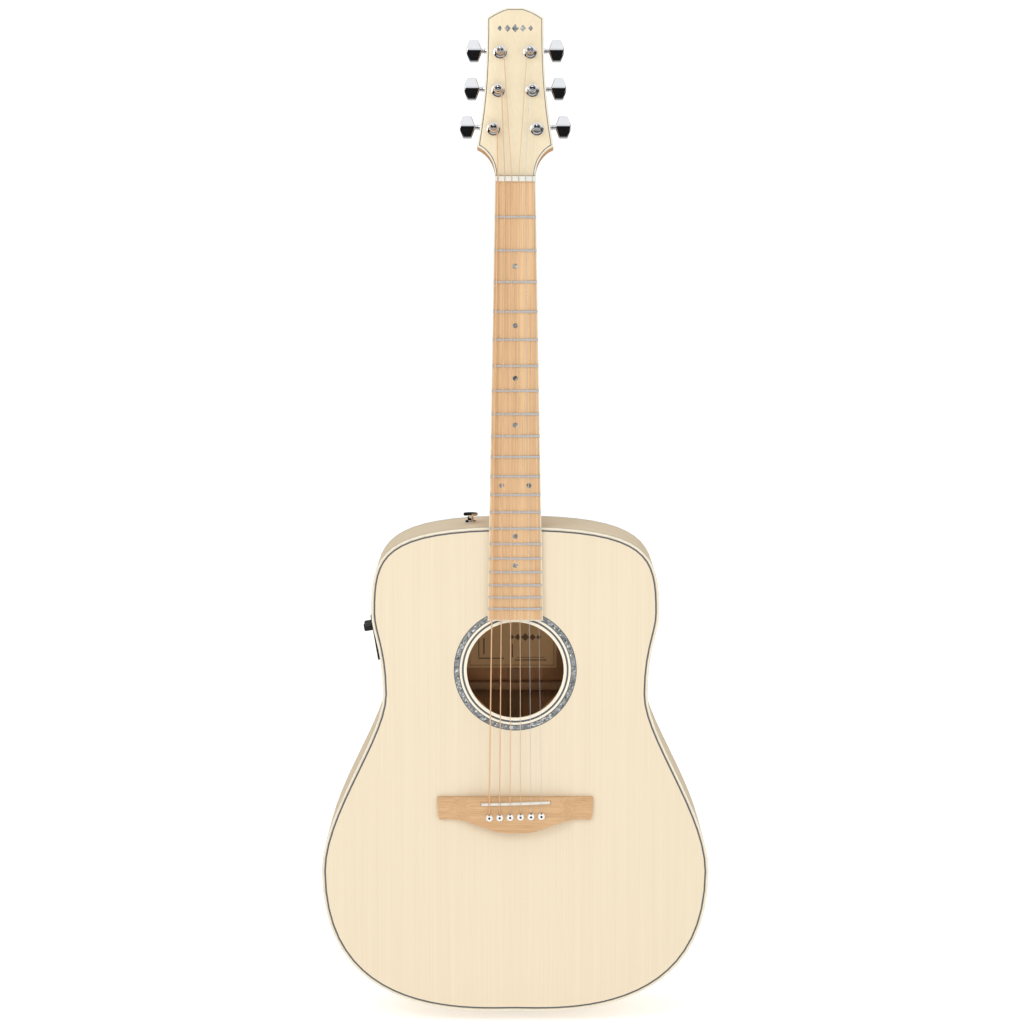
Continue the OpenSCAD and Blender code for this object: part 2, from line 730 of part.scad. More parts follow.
// ---- Tuning machines ----
// Key 1 is the low E string's; keys 1 to 3 are on the bass side
function key_post(k) = k <= 3 ? [-post_at[3 - k][0], post_at[3 - k][1]]
  : [post_at[k - 4][0], post_at[k - 4][1]];
function key_side(k) = k <= 3 ? -1 : 1;
module at_post(k) {
  on_head() translate([key_post(k)[0], 0, key_post(k)[1]])
    mirror([key_side(k) < 0 ? 1 : 0, 0, 0]) children();
}
module key_button() {
  hull() {
    translate([button_x + 7.4, 0, 0]) rotate([90, 0, 0]) cylinder(r = 3.4, h = 8.2, center = true, $fn = 24);
    translate([button_x + 1.5, 0, 0]) sphere(1.5, $fn = 20);
    for (s = [-1, 1]) {
      translate([button_x + 4, 0, s * (button_hh - 1.5)]) sphere(1.5, $fn = 20);
      translate([button_x + 10.8, 0, s * (button_hh - 1.5)]) sphere(1.5, $fn = 20);
      translate([button_x + button_w - 1.6, 0, s * 2.6]) sphere(1.6, $fn = 20);
    }
  }
}
module worm() {
  rotate([0, 90, 0]) translate([0, 0, -worm_turns * worm_lead / 2])
    linear_extrude(worm_turns * worm_lead, twist = -360 * worm_turns, slices = worm_turns * 14)
      translate([tooth_amp, 0]) circle(worm_r, $fn = 12);
}
module tuner_key(k) {
  color([0.82, 0.83, 0.85]) at_post(k) translate([0, worm_y, mesh_dist]) {
    worm();
    rotate([0, 90, 0]) translate([0, 0, -7.4]) cylinder(r = 1, h = 4.4, $fn = fine);
    rotate([0, 90, 0]) translate([0, 0, 3]) cylinder(r = key_r, h = button_x - 1, $fn = fine);
    key_button();
  }
}
module string_post(k) {
  r = string_r[k - 1];
  color([0.8, 0.81, 0.83]) at_post(k) {
    difference() {
      union() {
        rod_y_axis(0, 0, post_r, post_top + 0.6, worm_y + 4.5);
        cone_y_axis(0, 0, post_top, post_top + 0.6, post_r - 0.6, post_r);
      }
      translate([0, -10.4, -10]) cylinder(r = 0.9, h = 20, $fn = fine);
      cone_y_axis(0, 0, post_top - 1, post_top + 1.6, 2.4, 0.8);
    }
    translate([0, -7, 0]) for (n = [-1 : 1]) translate([0, n * 1.9 * r, 0]) rotate([90, 0, 0])
      rotate_extrude($fn = 48) translate([post_r + r - 0.03, 0]) circle(r, $fn = 16);
    translate([0, worm_y + gear_t / 2, 0]) rotate([90, 0, 0]) linear_extrude(gear_t)
      polygon([for (j = [0 : gear_teeth * 6 - 1]) let (a = 360 * j / (gear_teeth * 6))
        (gear_r + tooth_amp * cos(gear_teeth * a)) * [sin(a), cos(a)]]);
  }
}
module tuner_housings() {
  inner = 0.4;
  color([0.78, 0.79, 0.81]) for (k = [1 : 6]) at_post(k) difference() {
    union() {
      box([-8.6, head_t, -8.2], [9, worm_y + 6, 11.6]);
      box([-4, head_t, -15.5], [4, head_t + 2, -6.5]);
      translate([9, worm_y, mesh_dist]) rotate([0, 90, 0]) cylinder(r = 3.3, h = 3.6, $fn = fine);
      translate([12.6, worm_y, mesh_dist]) rotate([0, 90, 0]) cylinder(r = 2.6, h = 3, $fn = fine);
    }
    box([-6.4, head_t - 1, -gear_r - 1.1], [6.4, worm_y + gear_t / 2 + inner, 6.4]);
    translate([-5.2, worm_y, mesh_dist]) rotate([0, 90, 0]) cylinder(r = 2.6, h = 10.4, $fn = fine);
    translate([-8, worm_y, mesh_dist]) rotate([0, 90, 0]) cylinder(r = 1.05, h = 20, $fn = fine);
    translate([0, worm_y, mesh_dist]) rotate([0, 90, 0]) cylinder(r = key_r + 0.05, h = 20, $fn = fine);
    rod_y_axis(0, 0, post_r + 0.05, head_t - 1, worm_y + 4.6);
    rod_y_axis(0, -12, 1.2, head_t - 1, head_t + 4);
  }
}
module tuner_bushings() {
  color([0.8, 0.81, 0.83]) for (k = [1 : 6]) at_post(k) difference() {
    union() {
      rod_y_axis(0, 0, 6.9, -overlay_t - 0.9, -overlay_t);
      cone_y_axis(0, 0, -overlay_t - 2.6, -overlay_t - 0.9, 4.5, 5.9);
      rod_y_axis(0, 0, sleeve_r, -overlay_t, 11);
    }
    rod_y_axis(0, 0, post_r + 0.05, -10, 20);
  }
}
module tuner_screws() {
  color([0.75, 0.76, 0.78]) for (k = [1 : 6]) at_post(k) difference() {
    union() {
      rod_y_axis(0, -12, 1.2, head_t - 7.5, head_t + 2);
      cone_y_axis(0, -12, head_t + 2, head_t + 3.2, 2.5, 1.7);
    }
    box([-0.35, head_t + 2.6, -15], [0.35, head_t + 4, -9]);
    box([-3, head_t + 2.6, -12.35], [3, head_t + 4, -11.65]);
  }
}

// ---- Electronics ----
module out_rod(y, z, r, x0, x1) {
  translate([x0, y, z]) rotate([0, 90, 0]) cylinder(r = r, h = x1 - x0, $fn = fine);
}
module preamp_panel() {
  color([0.12, 0.12, 0.13]) difference() {
    on_preamp() difference() {
      box([panel_out, panel_y[0], panel_z[0]], [panel_back, panel_y[1], panel_z[1]]);
      box([-9, door_y[0] - door_gap, door_z[0] - door_gap], [9, door_y[1] + door_gap, door_z[1] + door_gap]);
      out_rod(volume_y, knob_z, 2, -9, 9);
      out_rod(tone_y, knob_z, 2, -9, 9);
      out_rod(button_y, knob_z, 3.6, -9, 9);
      rod_y_axis(hinge_x, hinge_z, 0.75, door_y[0] - 3, door_y[1] + 3);
    }
    slab(face_y, 60) body_shape(0);
  }
}
module preamp_box() {
  wall = 1.6;
  lo = [4.5, panel_y[0] + 4, panel_z[0] + 4];
  hi = [34, panel_y[1] - 4, panel_z[1] - 4];
  color([0.16, 0.16, 0.17]) on_preamp() difference() {
    box(lo, hi);
    box([lo[0] - 1, -37.5, lo[2] + wall], [hi[0] - wall, 11.5, 0]);
    box([lo[0] + wall, -37.5, 2], [hi[0] - wall, hi[1] - wall, hi[2] - wall]);
    out_rod(volume_y, knob_z, shaft_r + 0.05, 0, 8);
    out_rod(tone_y, knob_z, shaft_r + 0.05, 0, 8);
    out_rod(button_y, knob_z, shaft_r + 0.05, 0, 8);
  }
}
module control_knob(y) {
  on_preamp() difference() {
    union() {
      out_rod(y, knob_z, knob_r, knob_out + 0.8, panel_out - 0.5);
      translate([knob_out, y, knob_z]) rotate([0, 90, 0])
        cylinder(r1 = knob_r - 0.8, r2 = knob_r, h = 0.8, $fn = fine);
      out_rod(y, knob_z, shaft_r, panel_out - 0.5, 12);
    }
    box([knob_out - 1, y - 0.4, knob_z + 1.2], [knob_out + 1, y + 0.4, knob_z + 6]);
    for (a = [0 : 30 : 330])
      translate([0, y + (knob_r + 0.35) * cos(a), knob_z + (knob_r + 0.35) * sin(a)])
        translate([-30, 0, 0]) rotate([0, 90, 0]) cylinder(r = 0.6, h = 30 + panel_out - 1.4, $fn = 24);
  }
}
module volume_knob() {
  color([0.1, 0.1, 0.11]) control_knob(volume_y);
}
module tone_knob() {
  color([0.1, 0.1, 0.11]) control_knob(tone_y);
}
module tuner_button() {
  color([0.2, 0.2, 0.21]) on_preamp() {
    out_rod(button_y, knob_z, 3.3, panel_out - 1.6, 0.5);
    out_rod(button_y, knob_z, shaft_r, 0.5, 12);
  }
}
module battery_door() {
  color([0.12, 0.12, 0.13]) on_preamp() difference() {
    union() {
      box([panel_out, door_y[0], hinge_z], [panel_out + door_t, door_y[1], door_z[1]]);
      rod_y_axis(hinge_x, hinge_z, 1.1, door_y[0], door_y[1]);
      rod_y_axis(hinge_x, hinge_z, 0.7, door_y[0] - 2, door_y[1] + 2);
    }
    box([panel_out - 1, -16, door_z[1] - 1.4], [panel_out + 0.8, -8, door_z[1] + 1]);
  }
}
module battery() {
  color([0.35, 0.33, 0.3]) on_preamp() {
    box([5, -37, -18], [30, 9, -0.6]);
    out_rod(-30, -9.5, 2.6, 3.2, 5);
    out_rod(-22, -9.5, 2.6, 3.2, 5);
  }
}
module output_jack() {
  color([0.8, 0.81, 0.83]) difference() {
    union() {
      rod_z(0, 0, 7, 0, 2.4);
      rod_z(0, 0, 5.6, 2.4, 9.6);
      rod_z(0, 0, 8.2, 9.6, tail_z - 0.05);
      rod_z(0, 0, 4.75, tail_z - 1, 44);
      rod_z(0, 0, 7, tail_z + side_t + tail_block_d + 0.1, tail_z + side_t + tail_block_d + 3);
      rod_z(0, 0, 6, 44, 62);
    }
    rod_z(0, 0, jack_bore / 2, -1, 34);
  }
}
module strap_button() {
  color([0.8, 0.81, 0.83]) difference() {
    union() {
      difference() {
        rod_z(-strap_x, strap_y, 5.75, strap_z - 1, strap_z + 2.4);
        slab(face_y, 60) body_shape(0);
      }
      rod_z(-strap_x, strap_y, 3.15, strap_z + 2.4, strap_z + 8);
      rod_z(-strap_x, strap_y, 7.5, strap_z + 8, strap_z + 10.5);
      rod_z(-strap_x, strap_y, 2, strap_z - 24, strap_z + 2);
    }
    box([-strap_x - 0.4, strap_y - 3, strap_z + 9.6], [-strap_x + 0.4, strap_y + 3, strap_z + 12]);
  }
}
module pickup_wires() {
  color([0.1, 0.1, 0.1]) {
    tube([[-33, face_y - slot_floor + 0.1, nut_z - 653.6], [-33, -48, nut_z - 653.6],
      [-36, -38, nut_z - 648], [-60, -30, nut_z - 615], [-92, -26, nut_z - 560],
      [-100, -24, nut_z - 510], preamp_pt([46, -21, 0]), preamp_pt([41, -20, 9]),
      preamp_pt([34.1, -20, 10])], 0.9, [0.2, 0.8, 1]);
    tube([preamp_pt([34.1, -4, -8]), preamp_pt([41, -3, -9]), preamp_pt([47, 0, -16]),
      [-100, 12, nut_z - 530], [-112, 24, nut_z - 600], [-150, 26, nut_z - 690],
      [-140, 22, nut_z - 780], [-70, 10, nut_z - 815], [-12, 2, nut_z - 814],
      [0, 0, nut_z - 822], [0, 0, 62.1]], 1.4, [0.2, 1, 0.3]);
  }
}

soundboard();
back_plate();
side_bass();
side_treble();
top_binding();
back_binding();
top_purfling();
rosette();
rosette_lines();
neck_block();
tail_block();
linings();
top_braces();
bridge_plate();
back_braces();
soundhole_label();
neck();
heel_cap();
headstock_overlay();
headstock_binding();
headstock_line();
headstock_ornament();
fretboard();
fretboard_binding();
frets();
fret_markers();
nut();
truss_rod();
truss_nut();
bridge();
saddle();
saddle_pickup();
bridge_pins();
wound_strings();
plain_strings();
tuner_key(1);  // tuner_key_1
tuner_key(2);  // tuner_key_2
tuner_key(3);  // tuner_key_3
tuner_key(4);  // tuner_key_4
tuner_key(5);  // tuner_key_5
tuner_key(6);  // tuner_key_6
string_post(1);  // string_post_1
string_post(2);  // string_post_2
string_post(3);  // string_post_3
string_post(4);  // string_post_4
string_post(5);  // string_post_5
string_post(6);  // string_post_6
tuner_housings();
tuner_bushings();
tuner_screws();
preamp_panel();
preamp_box();
volume_knob();
tone_knob();
tuner_button();
battery_door();
battery();
output_jack();
strap_button();
pickup_wires();
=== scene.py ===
"""Looks of a steel-string electro-acoustic guitar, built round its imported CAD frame.

Metres, +Z up the neck, front toward -Y. Pieces are drawn in millimetres and scaled by MM.
"""
import json
import math

import bmesh
import bpy
from mathutils import Matrix, Vector


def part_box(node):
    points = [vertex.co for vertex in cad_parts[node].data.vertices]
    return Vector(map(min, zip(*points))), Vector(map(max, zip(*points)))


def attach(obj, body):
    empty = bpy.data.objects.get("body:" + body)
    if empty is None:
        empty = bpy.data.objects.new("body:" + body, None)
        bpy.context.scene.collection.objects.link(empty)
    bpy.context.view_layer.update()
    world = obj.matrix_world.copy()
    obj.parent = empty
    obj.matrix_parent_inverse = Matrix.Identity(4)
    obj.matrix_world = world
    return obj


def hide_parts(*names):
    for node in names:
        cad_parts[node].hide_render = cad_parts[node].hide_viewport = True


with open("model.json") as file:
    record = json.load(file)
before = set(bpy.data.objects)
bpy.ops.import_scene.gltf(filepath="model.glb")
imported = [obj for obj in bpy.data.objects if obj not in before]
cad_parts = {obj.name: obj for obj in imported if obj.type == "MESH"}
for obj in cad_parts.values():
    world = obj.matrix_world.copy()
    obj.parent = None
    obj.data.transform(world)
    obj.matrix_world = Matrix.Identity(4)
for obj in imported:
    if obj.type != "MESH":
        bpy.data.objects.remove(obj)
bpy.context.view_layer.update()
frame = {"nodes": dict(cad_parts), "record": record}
nodes = frame["nodes"]
MM = 0.001

# ---- Places read from the frame, and the headstock's tilt ----
NUT_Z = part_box("nut")[0].z
BOARD_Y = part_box("fretboard")[0].y
HOLE_Z = (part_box("rosette")[0].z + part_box("rosette")[1].z) / 2
JOINTS = {joint["name"]: joint for joint in frame["record"]["behaviour"]["joints"]}
HEAD_ANGLE = math.radians(14)


# ---- Colour and material helpers ----
def rgb(r, g, b):
    """A display colour from 0 to 255, as Blender's linear colour."""
    def linear(v):
        v /= 255
        return v / 12.92 if v <= 0.04045 else ((v + 0.055) / 1.055) ** 2.4
    return (linear(r), linear(g), linear(b), 1.0)


def times(colour, factor):
    """A colour made darker or lighter."""
    return tuple(factor * c for c in colour[:3]) + (1.0,)


class Shader:
    """One node material with a Principled surface and short calls for its texture nodes."""

    def __init__(self, name, **values):
        self.material = bpy.data.materials.new(name)
        self.material.use_nodes = True
        self.tree = self.material.node_tree
        self.surface = self.tree.nodes["Principled BSDF"]
        for key, value in values.items():
            self.surface.inputs[key.replace("_", " ")].default_value = value
        source = self.add("ShaderNodeTexCoord")
        self.place, self.normal = source.outputs["Object"], source.outputs["Normal"]

    def add(self, kind, **values):
        node = self.tree.nodes.new(kind)
        for key, value in values.items():
            setattr(node, key, value)
        return node

    def link(self, source, target):
        self.tree.links.new(source, target)

    def math(self, operation, a, b=0.0, c=0.0):
        node = self.add("ShaderNodeMath", operation=operation)
        for socket, value in zip(node.inputs, (a, b, c)):
            if isinstance(value, (int, float)):
                socket.default_value = value
            else:
                self.link(value, socket)
        return node.outputs[0]

    def parts(self, vector):
        """The X, Y and Z of a vector."""
        node = self.add("ShaderNodeSeparateXYZ")
        self.link(vector, node.inputs[0])
        return node.outputs

    def scaled(self, scale, mirrored=False):
        """Object coordinates times a scale per axis, in repeats per metre."""
        source = self.place
        if mirrored:
            x, y, z = self.parts(source)
            together = self.add("ShaderNodeCombineXYZ")
            for part, socket in zip((self.math("ABSOLUTE", x), y, z), together.inputs):
                self.link(part, socket)
            source = together.outputs[0]
        node = self.add("ShaderNodeVectorMath", operation="MULTIPLY")
        self.link(source, node.inputs[0])
        node.inputs[1].default_value = scale
        return node.outputs[0]

    def noise(self, vector, detail=3.0, roughness=0.55, distortion=0.0):
        node = self.add("ShaderNodeTexNoise")
        self.link(vector, node.inputs["Vector"])
        node.inputs["Scale"].default_value = 1.0
        node.inputs["Detail"].default_value = detail
        node.inputs["Roughness"].default_value = roughness
        node.inputs["Distortion"].default_value = distortion
        return node.outputs["Fac"]

    def ramp(self, factor, *stops):
        """A colour ramp from (position, colour) stops."""
        node = self.add("ShaderNodeValToRGB")
        self.link(factor, node.inputs[0])
        while len(node.color_ramp.elements) < len(stops):
            node.color_ramp.elements.new(0.5)
        for element, (at, colour) in zip(node.color_ramp.elements, stops):
            element.position = at
            element.color = colour
        return node.outputs[0]

    def mix(self, factor, a, b, blend="MIX"):
        node = self.add("ShaderNodeMix", data_type="RGBA", blend_type=blend)
        for socket, value in zip((node.inputs[0], node.inputs[6], node.inputs[7]), (factor, a, b)):
            if isinstance(value, (int, float, tuple)):
                socket.default_value = value
            else:
                self.link(value, socket)
        return node.outputs[2]

    def colour(self, source):
        self.link(source, self.surface.inputs["Base Color"])

    def roughness(self, factor, low, high):
        node = self.add("ShaderNodeMapRange")
        self.link(factor, node.inputs["Value"])
        node.inputs["To Min"].default_value = low
        node.inputs["To Max"].default_value = high
        self.link(node.outputs[0], self.surface.inputs["Roughness"])

    def bump(self, height, depth, strength=0.5):
        node = self.add("ShaderNodeBump")
        node.inputs["Strength"].default_value = strength
        node.inputs["Distance"].default_value = depth
        self.link(height, node.inputs["Height"])
        self.link(node.outputs[0], self.surface.inputs["Normal"])


def wood(name, light, dark, pitch=1.2, run=150.0, along="z", mirrored=False, pores=0.0,
         rough=0.42, coat=0.25, seam=0.0, shine=0.5, ring=None, inner_shade=None):
    """Timber with grain lines `pitch` mm apart that run `run` mm along an axis.

    `mirrored` repeats it across X = 0, where `seam` is the width in mm of a dark glue line. `ring` is a
    radius in mm round the soundhole and the colour within it, and the last colour multiplies the faces
    toward the front darker as painted shade inside the body.
    """
    shader = Shader(name, Roughness=rough, Coat_Weight=coat, Coat_Roughness=0.18, Specular_IOR_Level=shine)
    across, lengthwise = 1000 / pitch, 1000 / run
    pick = {"x": (lengthwise, across, across), "xz": (lengthwise, across, lengthwise),
            "z": (across, across, lengthwise)}

    def finer(factor, both_halves=mirrored):
        return shader.scaled(tuple(factor * v for v in pick[along]), both_halves)

    grain = shader.noise(finer(1.0), 3, 0.6, 0.15)
    fine = shader.noise(finer(4.5), 2, 0.5)
    broad = shader.noise(finer(0.11), 2, 0.5)
    lines = shader.ramp(grain, (0.36, dark), (0.62, light))
    tone = shader.mix(0.35, lines, shader.ramp(broad, (0.3, dark), (0.7, light)))
    tone = shader.mix(0.18, tone, shader.ramp(fine, (0.35, dark), (0.6, light)))
    height = shader.math("ADD", grain, shader.math("MULTIPLY", fine, 0.5))
    if pores:
        specks = shader.noise(finer(2.2, False), 1, 0.5)
        spots = shader.math("MULTIPLY", shader.math("GREATER_THAN", specks, 0.63), pores)
        tone = shader.mix(spots, tone, times(dark, 0.45))
    if seam:
        from_middle = shader.math("ABSOLUTE", shader.parts(shader.place)[0])
        joint = shader.math("LESS_THAN", from_middle, seam * MM / 2)
        tone = shader.mix(shader.math("MULTIPLY", joint, 0.75), tone, times(dark, 0.5))
    if ring:
        radius, colour = ring
        x, _, z = shader.parts(shader.place)
        above = shader.math("SUBTRACT", z, HOLE_Z)
        squares = [shader.math("POWER", distance, 2.0) for distance in (x, above)]
        near = shader.math("LESS_THAN", shader.math("ADD", *squares), (radius * MM) ** 2)
        tone = shader.mix(near, tone, colour)
    # Painted shade: faces toward the front, the inner faces of the body, are multiplied darker
    if inner_shade:
        inner = shader.math("LESS_THAN", shader.parts(shader.normal)[1], -0.5)
        tone = shader.mix(inner, tone, shader.mix(1.0, tone, inner_shade, "MULTIPLY"))
    shader.colour(tone)
    shader.roughness(fine, rough - 0.06, rough + 0.08)
    shader.bump(height, 0.00012, 0.35)
    return shader.material


def metal(name, colour, rough, brushed=0.0, metallic=1.0):
    """Plated or plain metal with faint polishing marks."""
    shader = Shader(name, Metallic=metallic)
    haze = shader.noise(shader.scaled((90, 90, 90)), 3, 0.6)
    fine = shader.noise(shader.scaled((2600, 2600, 300)), 2, 0.5)
    shader.colour(shader.ramp(haze, (0.3, times(colour, 0.93)), (0.7, colour)))
    shader.roughness(haze, rough * 0.7, rough * 1.3)
    shader.bump(fine, 0.00002, 0.08 + brushed)
    return shader.material


def plastic(name, colour, rough, grain=0.0, coat=0.0):
    """Moulded or polished plastic or bone with a slight mottle."""
    shader = Shader(name, Coat_Weight=coat, Coat_Roughness=0.1)
    mottle = shader.noise(shader.scaled((140, 140, 60)), 3, 0.6)
    fine = shader.noise(shader.scaled((2400, 2400, 2400)), 2, 0.6)
    shader.colour(shader.ramp(mottle, (0.3, times(colour, 0.92)), (0.7, colour)))
    shader.roughness(mottle, rough - 0.04, rough + 0.06)
    shader.bump(fine, 0.00005, 0.05 + grain)
    return shader.material


def shell(name):
    """Grey abalone: small jagged flecks, mostly mid grey with a few dark and pearl ones."""
    shader = Shader(name, Roughness=0.22, Coat_Weight=0.6, Coat_Roughness=0.08)
    warp = shader.noise(shader.scaled((420, 420, 420)), 3, 0.6)
    cells = shader.add("ShaderNodeTexVoronoi")
    bent = shader.add("ShaderNodeVectorMath", operation="ADD")
    shader.link(shader.scaled((520, 520, 520)), bent.inputs[0])
    shader.link(shader.ramp(warp, (0.3, (0, 0, 0, 1)), (0.7, (2.2, 2.2, 2.2, 1))), bent.inputs[1])
    shader.link(bent.outputs[0], cells.inputs["Vector"])
    cells.inputs["Scale"].default_value = 1.0
    apart = shader.add("ShaderNodeSeparateColor")
    shader.link(cells.outputs["Color"], apart.inputs[0])
    dark, grey, mid = rgb(34, 34, 36), rgb(84, 86, 88), rgb(124, 126, 127)
    light, pale, pearl = rgb(146, 147, 147), rgb(194, 194, 191), rgb(250, 250, 246)
    flecks = shader.ramp(apart.outputs[0], (0.0, dark), (0.14, grey), (0.3, mid), (0.78, light), (0.9, pale),
                         (1.0, pearl))
    blue, rose, green = rgb(126, 136, 140), rgb(142, 138, 142), rgb(130, 142, 136)
    tint = shader.ramp(apart.outputs[1], (0.2, blue), (0.5, rose), (0.8, green))
    shader.colour(shader.mix(0.15, flecks, tint))
    shader.bump(apart.outputs[2], 0.00004, 0.3)
    return shader.material


def wound(name):
    """Bronze winding: fine turns along the string, paler toward the treble side."""
    shader = Shader(name, Metallic=0.15, Roughness=0.35)
    winding = 0.4 * MM
    x, _, z = shader.parts(shader.place)
    turns = shader.math("SINE", shader.math("MULTIPLY", z, 2 * math.pi / winding))
    step = shader.math("MULTIPLY_ADD", turns, 0.5, 0.5)
    pale = shader.math("MULTIPLY_ADD", x, 26.0, 0.5)
    rich = shader.ramp(step, (0.0, rgb(208, 156, 110)), (1.0, rgb(246, 206, 164)))
    grey = shader.ramp(step, (0.0, rgb(192, 168, 144)), (1.0, rgb(232, 212, 190)))
    shader.colour(shader.mix(pale, rich, grey))
    shader.bump(turns, 0.0001, 0.5)
    return shader.material


def label(name, paper, ink):
    """Printed paper: a ruled frame, a row of lozenges and a few ruled lines."""
    shader = Shader(name, Roughness=0.75)
    low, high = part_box("soundhole_label")
    middle = (low + high) / 2
    half = (high - low) / 2
    across, _, up = shader.parts(shader.place)

    def beside(axis, at):
        return shader.math("ABSOLUTE", shader.math("SUBTRACT", axis, at))

    def under(distance, limit):
        return shader.math("LESS_THAN", distance, limit)

    # A frame line set in from the edge
    frame_inset, frame_width = 2.8 * MM, 0.3 * MM
    past_side = shader.math("SUBTRACT", beside(across, middle.x), half.x)
    past_end = shader.math("SUBTRACT", beside(up, middle.z), half.z)
    edge = shader.math("MAXIMUM", past_side, past_end)
    marks = [under(shader.math("ABSOLUTE", shader.math("ADD", edge, frame_inset)), frame_width)]
    # Ruled lines: middle in X and Z, and half sizes, in millimetres from the label's middle
    for x, z, wide, tall in ((-22.5, -24.5, 14, 0.6), (20.5, -26.5, 17, 0.6), (20.5, -23.5, 15, 0.3),
                             (0.5, -16, 0.6, 7.5), (-36, -12, 0.5, 11), (-30.5, -11, 0.8, 9)):
        columns = under(beside(across, middle.x + x * MM), wide * MM)
        rows = under(beside(up, middle.z + z * MM), tall * MM)
        marks.append(shader.math("MULTIPLY", columns, rows))
    # A row of lozenges: middle in X and half width
    row_height = 1 * MM
    for x, wide in ((0, 2.8), (6.5, 3.6), (14.5, 4.4), (22.5, 3.6), (29, 2.8)):
        far = shader.math("ADD", beside(across, middle.x + x * MM), beside(up, middle.z - row_height))
        marks.append(under(far, wide * MM))
    total = marks[0]
    for mark in marks[1:]:
        total = shader.math("MAXIMUM", total, mark)
    fibre = shader.noise(shader.scaled((900, 900, 300)), 3, 0.6)
    ground = shader.ramp(fibre, (0.3, times(paper, 0.93)), (0.7, paper))
    shader.colour(shader.mix(shader.math("MULTIPLY", total, 0.8), ground, ink))
    shader.bump(fibre, 0.00004, 0.2)
    return shader.material


# ---- Materials, one for each slot of the record ----
MATERIALS = {
    "spruce_top": wood("spruce_top", rgb(227, 212, 186), rgb(221, 205, 177), 1.3, 260, mirrored=True,
                       rough=0.4, coat=0.15, ring=(59.5, rgb(236, 226, 205))),
    "head_maple": wood("head_maple", rgb(229, 214, 183), rgb(221, 205, 173), 1.6, 160, rough=0.4,
                       coat=0.15),
    # back_wood: its faces toward the front get painted shade, darker inside the body
    "back_wood": wood("back_wood", rgb(214, 188, 150), rgb(190, 159, 120), 2.4, 320, mirrored=True, pores=0.2,
                      rough=0.42, coat=0.15, seam=0.8, shine=0.3, inner_shade=rgb(228, 188, 156)),
    "side_wood": wood("side_wood", rgb(230, 214, 187), rgb(214, 195, 164), 2.4, 320, along="xz", pores=0.15,
                      rough=0.55, coat=0.0, shine=0.15),
    "neck_maple": wood("neck_maple", rgb(208, 164, 117), rgb(178, 131, 87), 1.2, 120, pores=0.35,
                       rough=0.5, coat=0.0, shine=0.3),
    "board_maple": wood("board_maple", rgb(227, 191, 147), rgb(198, 154, 108), 1.9, 300, pores=0.25,
                        rough=0.45, coat=0.1),
    "bridge_maple": wood("bridge_maple", rgb(214, 176, 131), rgb(186, 142, 97), 0.9, 60, along="x",
                         pores=0.3, rough=0.42),
    "mahogany": wood("mahogany", rgb(150, 100, 66), rgb(112, 70, 44), 0.9, 40, pores=0.4, rough=0.6,
                     coat=0.0),
    # Braces coloured darker than pale spruce: painted shade inside the body
    "brace_spruce": wood("brace_spruce", rgb(176, 132, 90), rgb(152, 108, 70), 1.0, 120, rough=0.6,
                         coat=0.0),
    "ivory_binding": plastic("ivory_binding", rgb(230, 221, 200), 0.3, coat=0.2),
    "white_bone": plastic("white_bone", rgb(219, 215, 205), 0.3, coat=0.25),
    "pin_plastic": plastic("pin_plastic", rgb(236, 236, 231), 0.25, coat=0.4),
    "dark_lines": plastic("dark_lines", rgb(92, 95, 100), 0.35),
    "black_plastic": plastic("black_plastic", rgb(30, 30, 32), 0.42, grain=0.12),
    "wire_rubber": plastic("wire_rubber", rgb(24, 24, 24), 0.6),
    "battery_shell": plastic("battery_shell", rgb(112, 104, 92), 0.35),
    "label_paper": label("label_paper", rgb(220, 174, 122), rgb(60, 40, 26)),
    "abalone": shell("abalone"),
    "bronze_wound": wound("bronze_wound"),
    "plain_steel": metal("plain_steel", rgb(214, 216, 220), 0.3, metallic=0.4),
    "fret_nickel": metal("fret_nickel", rgb(193, 192, 191), 0.4, 0.1, metallic=0.2),
    "chrome": metal("chrome", rgb(236, 238, 242), 0.04),
    "rod_steel": metal("rod_steel", rgb(150, 152, 156), 0.3, 0.2),
    "nut_brass": metal("nut_brass", rgb(205, 172, 96), 0.25, 0.1),
    "pickup_strip": metal("pickup_strip", rgb(190, 130, 84), 0.4, 0.3),
}


# ---- Finish of the CAD nodes: smooth curves and small real edge radii ----
def smooth_group(angle):
    """A geometry node group that shades edges smooth below an angle."""
    group = bpy.data.node_groups.new("smooth_by_angle", "GeometryNodeTree")
    group.interface.new_socket("Geometry", in_out="INPUT", socket_type="NodeSocketGeometry")
    group.interface.new_socket("Geometry", in_out="OUTPUT", socket_type="NodeSocketGeometry")
    start = group.nodes.new("NodeGroupInput")
    end = group.nodes.new("NodeGroupOutput")
    edge = group.nodes.new("GeometryNodeInputMeshEdgeAngle")
    test = group.nodes.new("FunctionNodeCompare")
    test.data_type = "FLOAT"
    test.operation = "LESS_THAN"
    test.inputs[1].default_value = angle
    faces = group.nodes.new("GeometryNodeSetShadeSmooth")
    edges = group.nodes.new("GeometryNodeSetShadeSmooth")
    edges.domain = "EDGE"
    links = group.links
    links.new(start.outputs[0], faces.inputs["Geometry"])
    links.new(faces.outputs[0], edges.inputs["Geometry"])
    links.new(edge.outputs["Unsigned Angle"], test.inputs[0])
    links.new(test.outputs[0], edges.inputs["Shade Smooth"])
    links.new(edges.outputs[0], end.inputs[0])
    return group


SMOOTH = smooth_group(math.radians(32))
SMOOTH_TUBE = smooth_group(math.radians(50))
TUBES = ("wound_strings", "plain_strings", "pickup_wires")
SHARP_EDGE = math.radians(38)
WELD_DISTANCE = 0.001 * MM


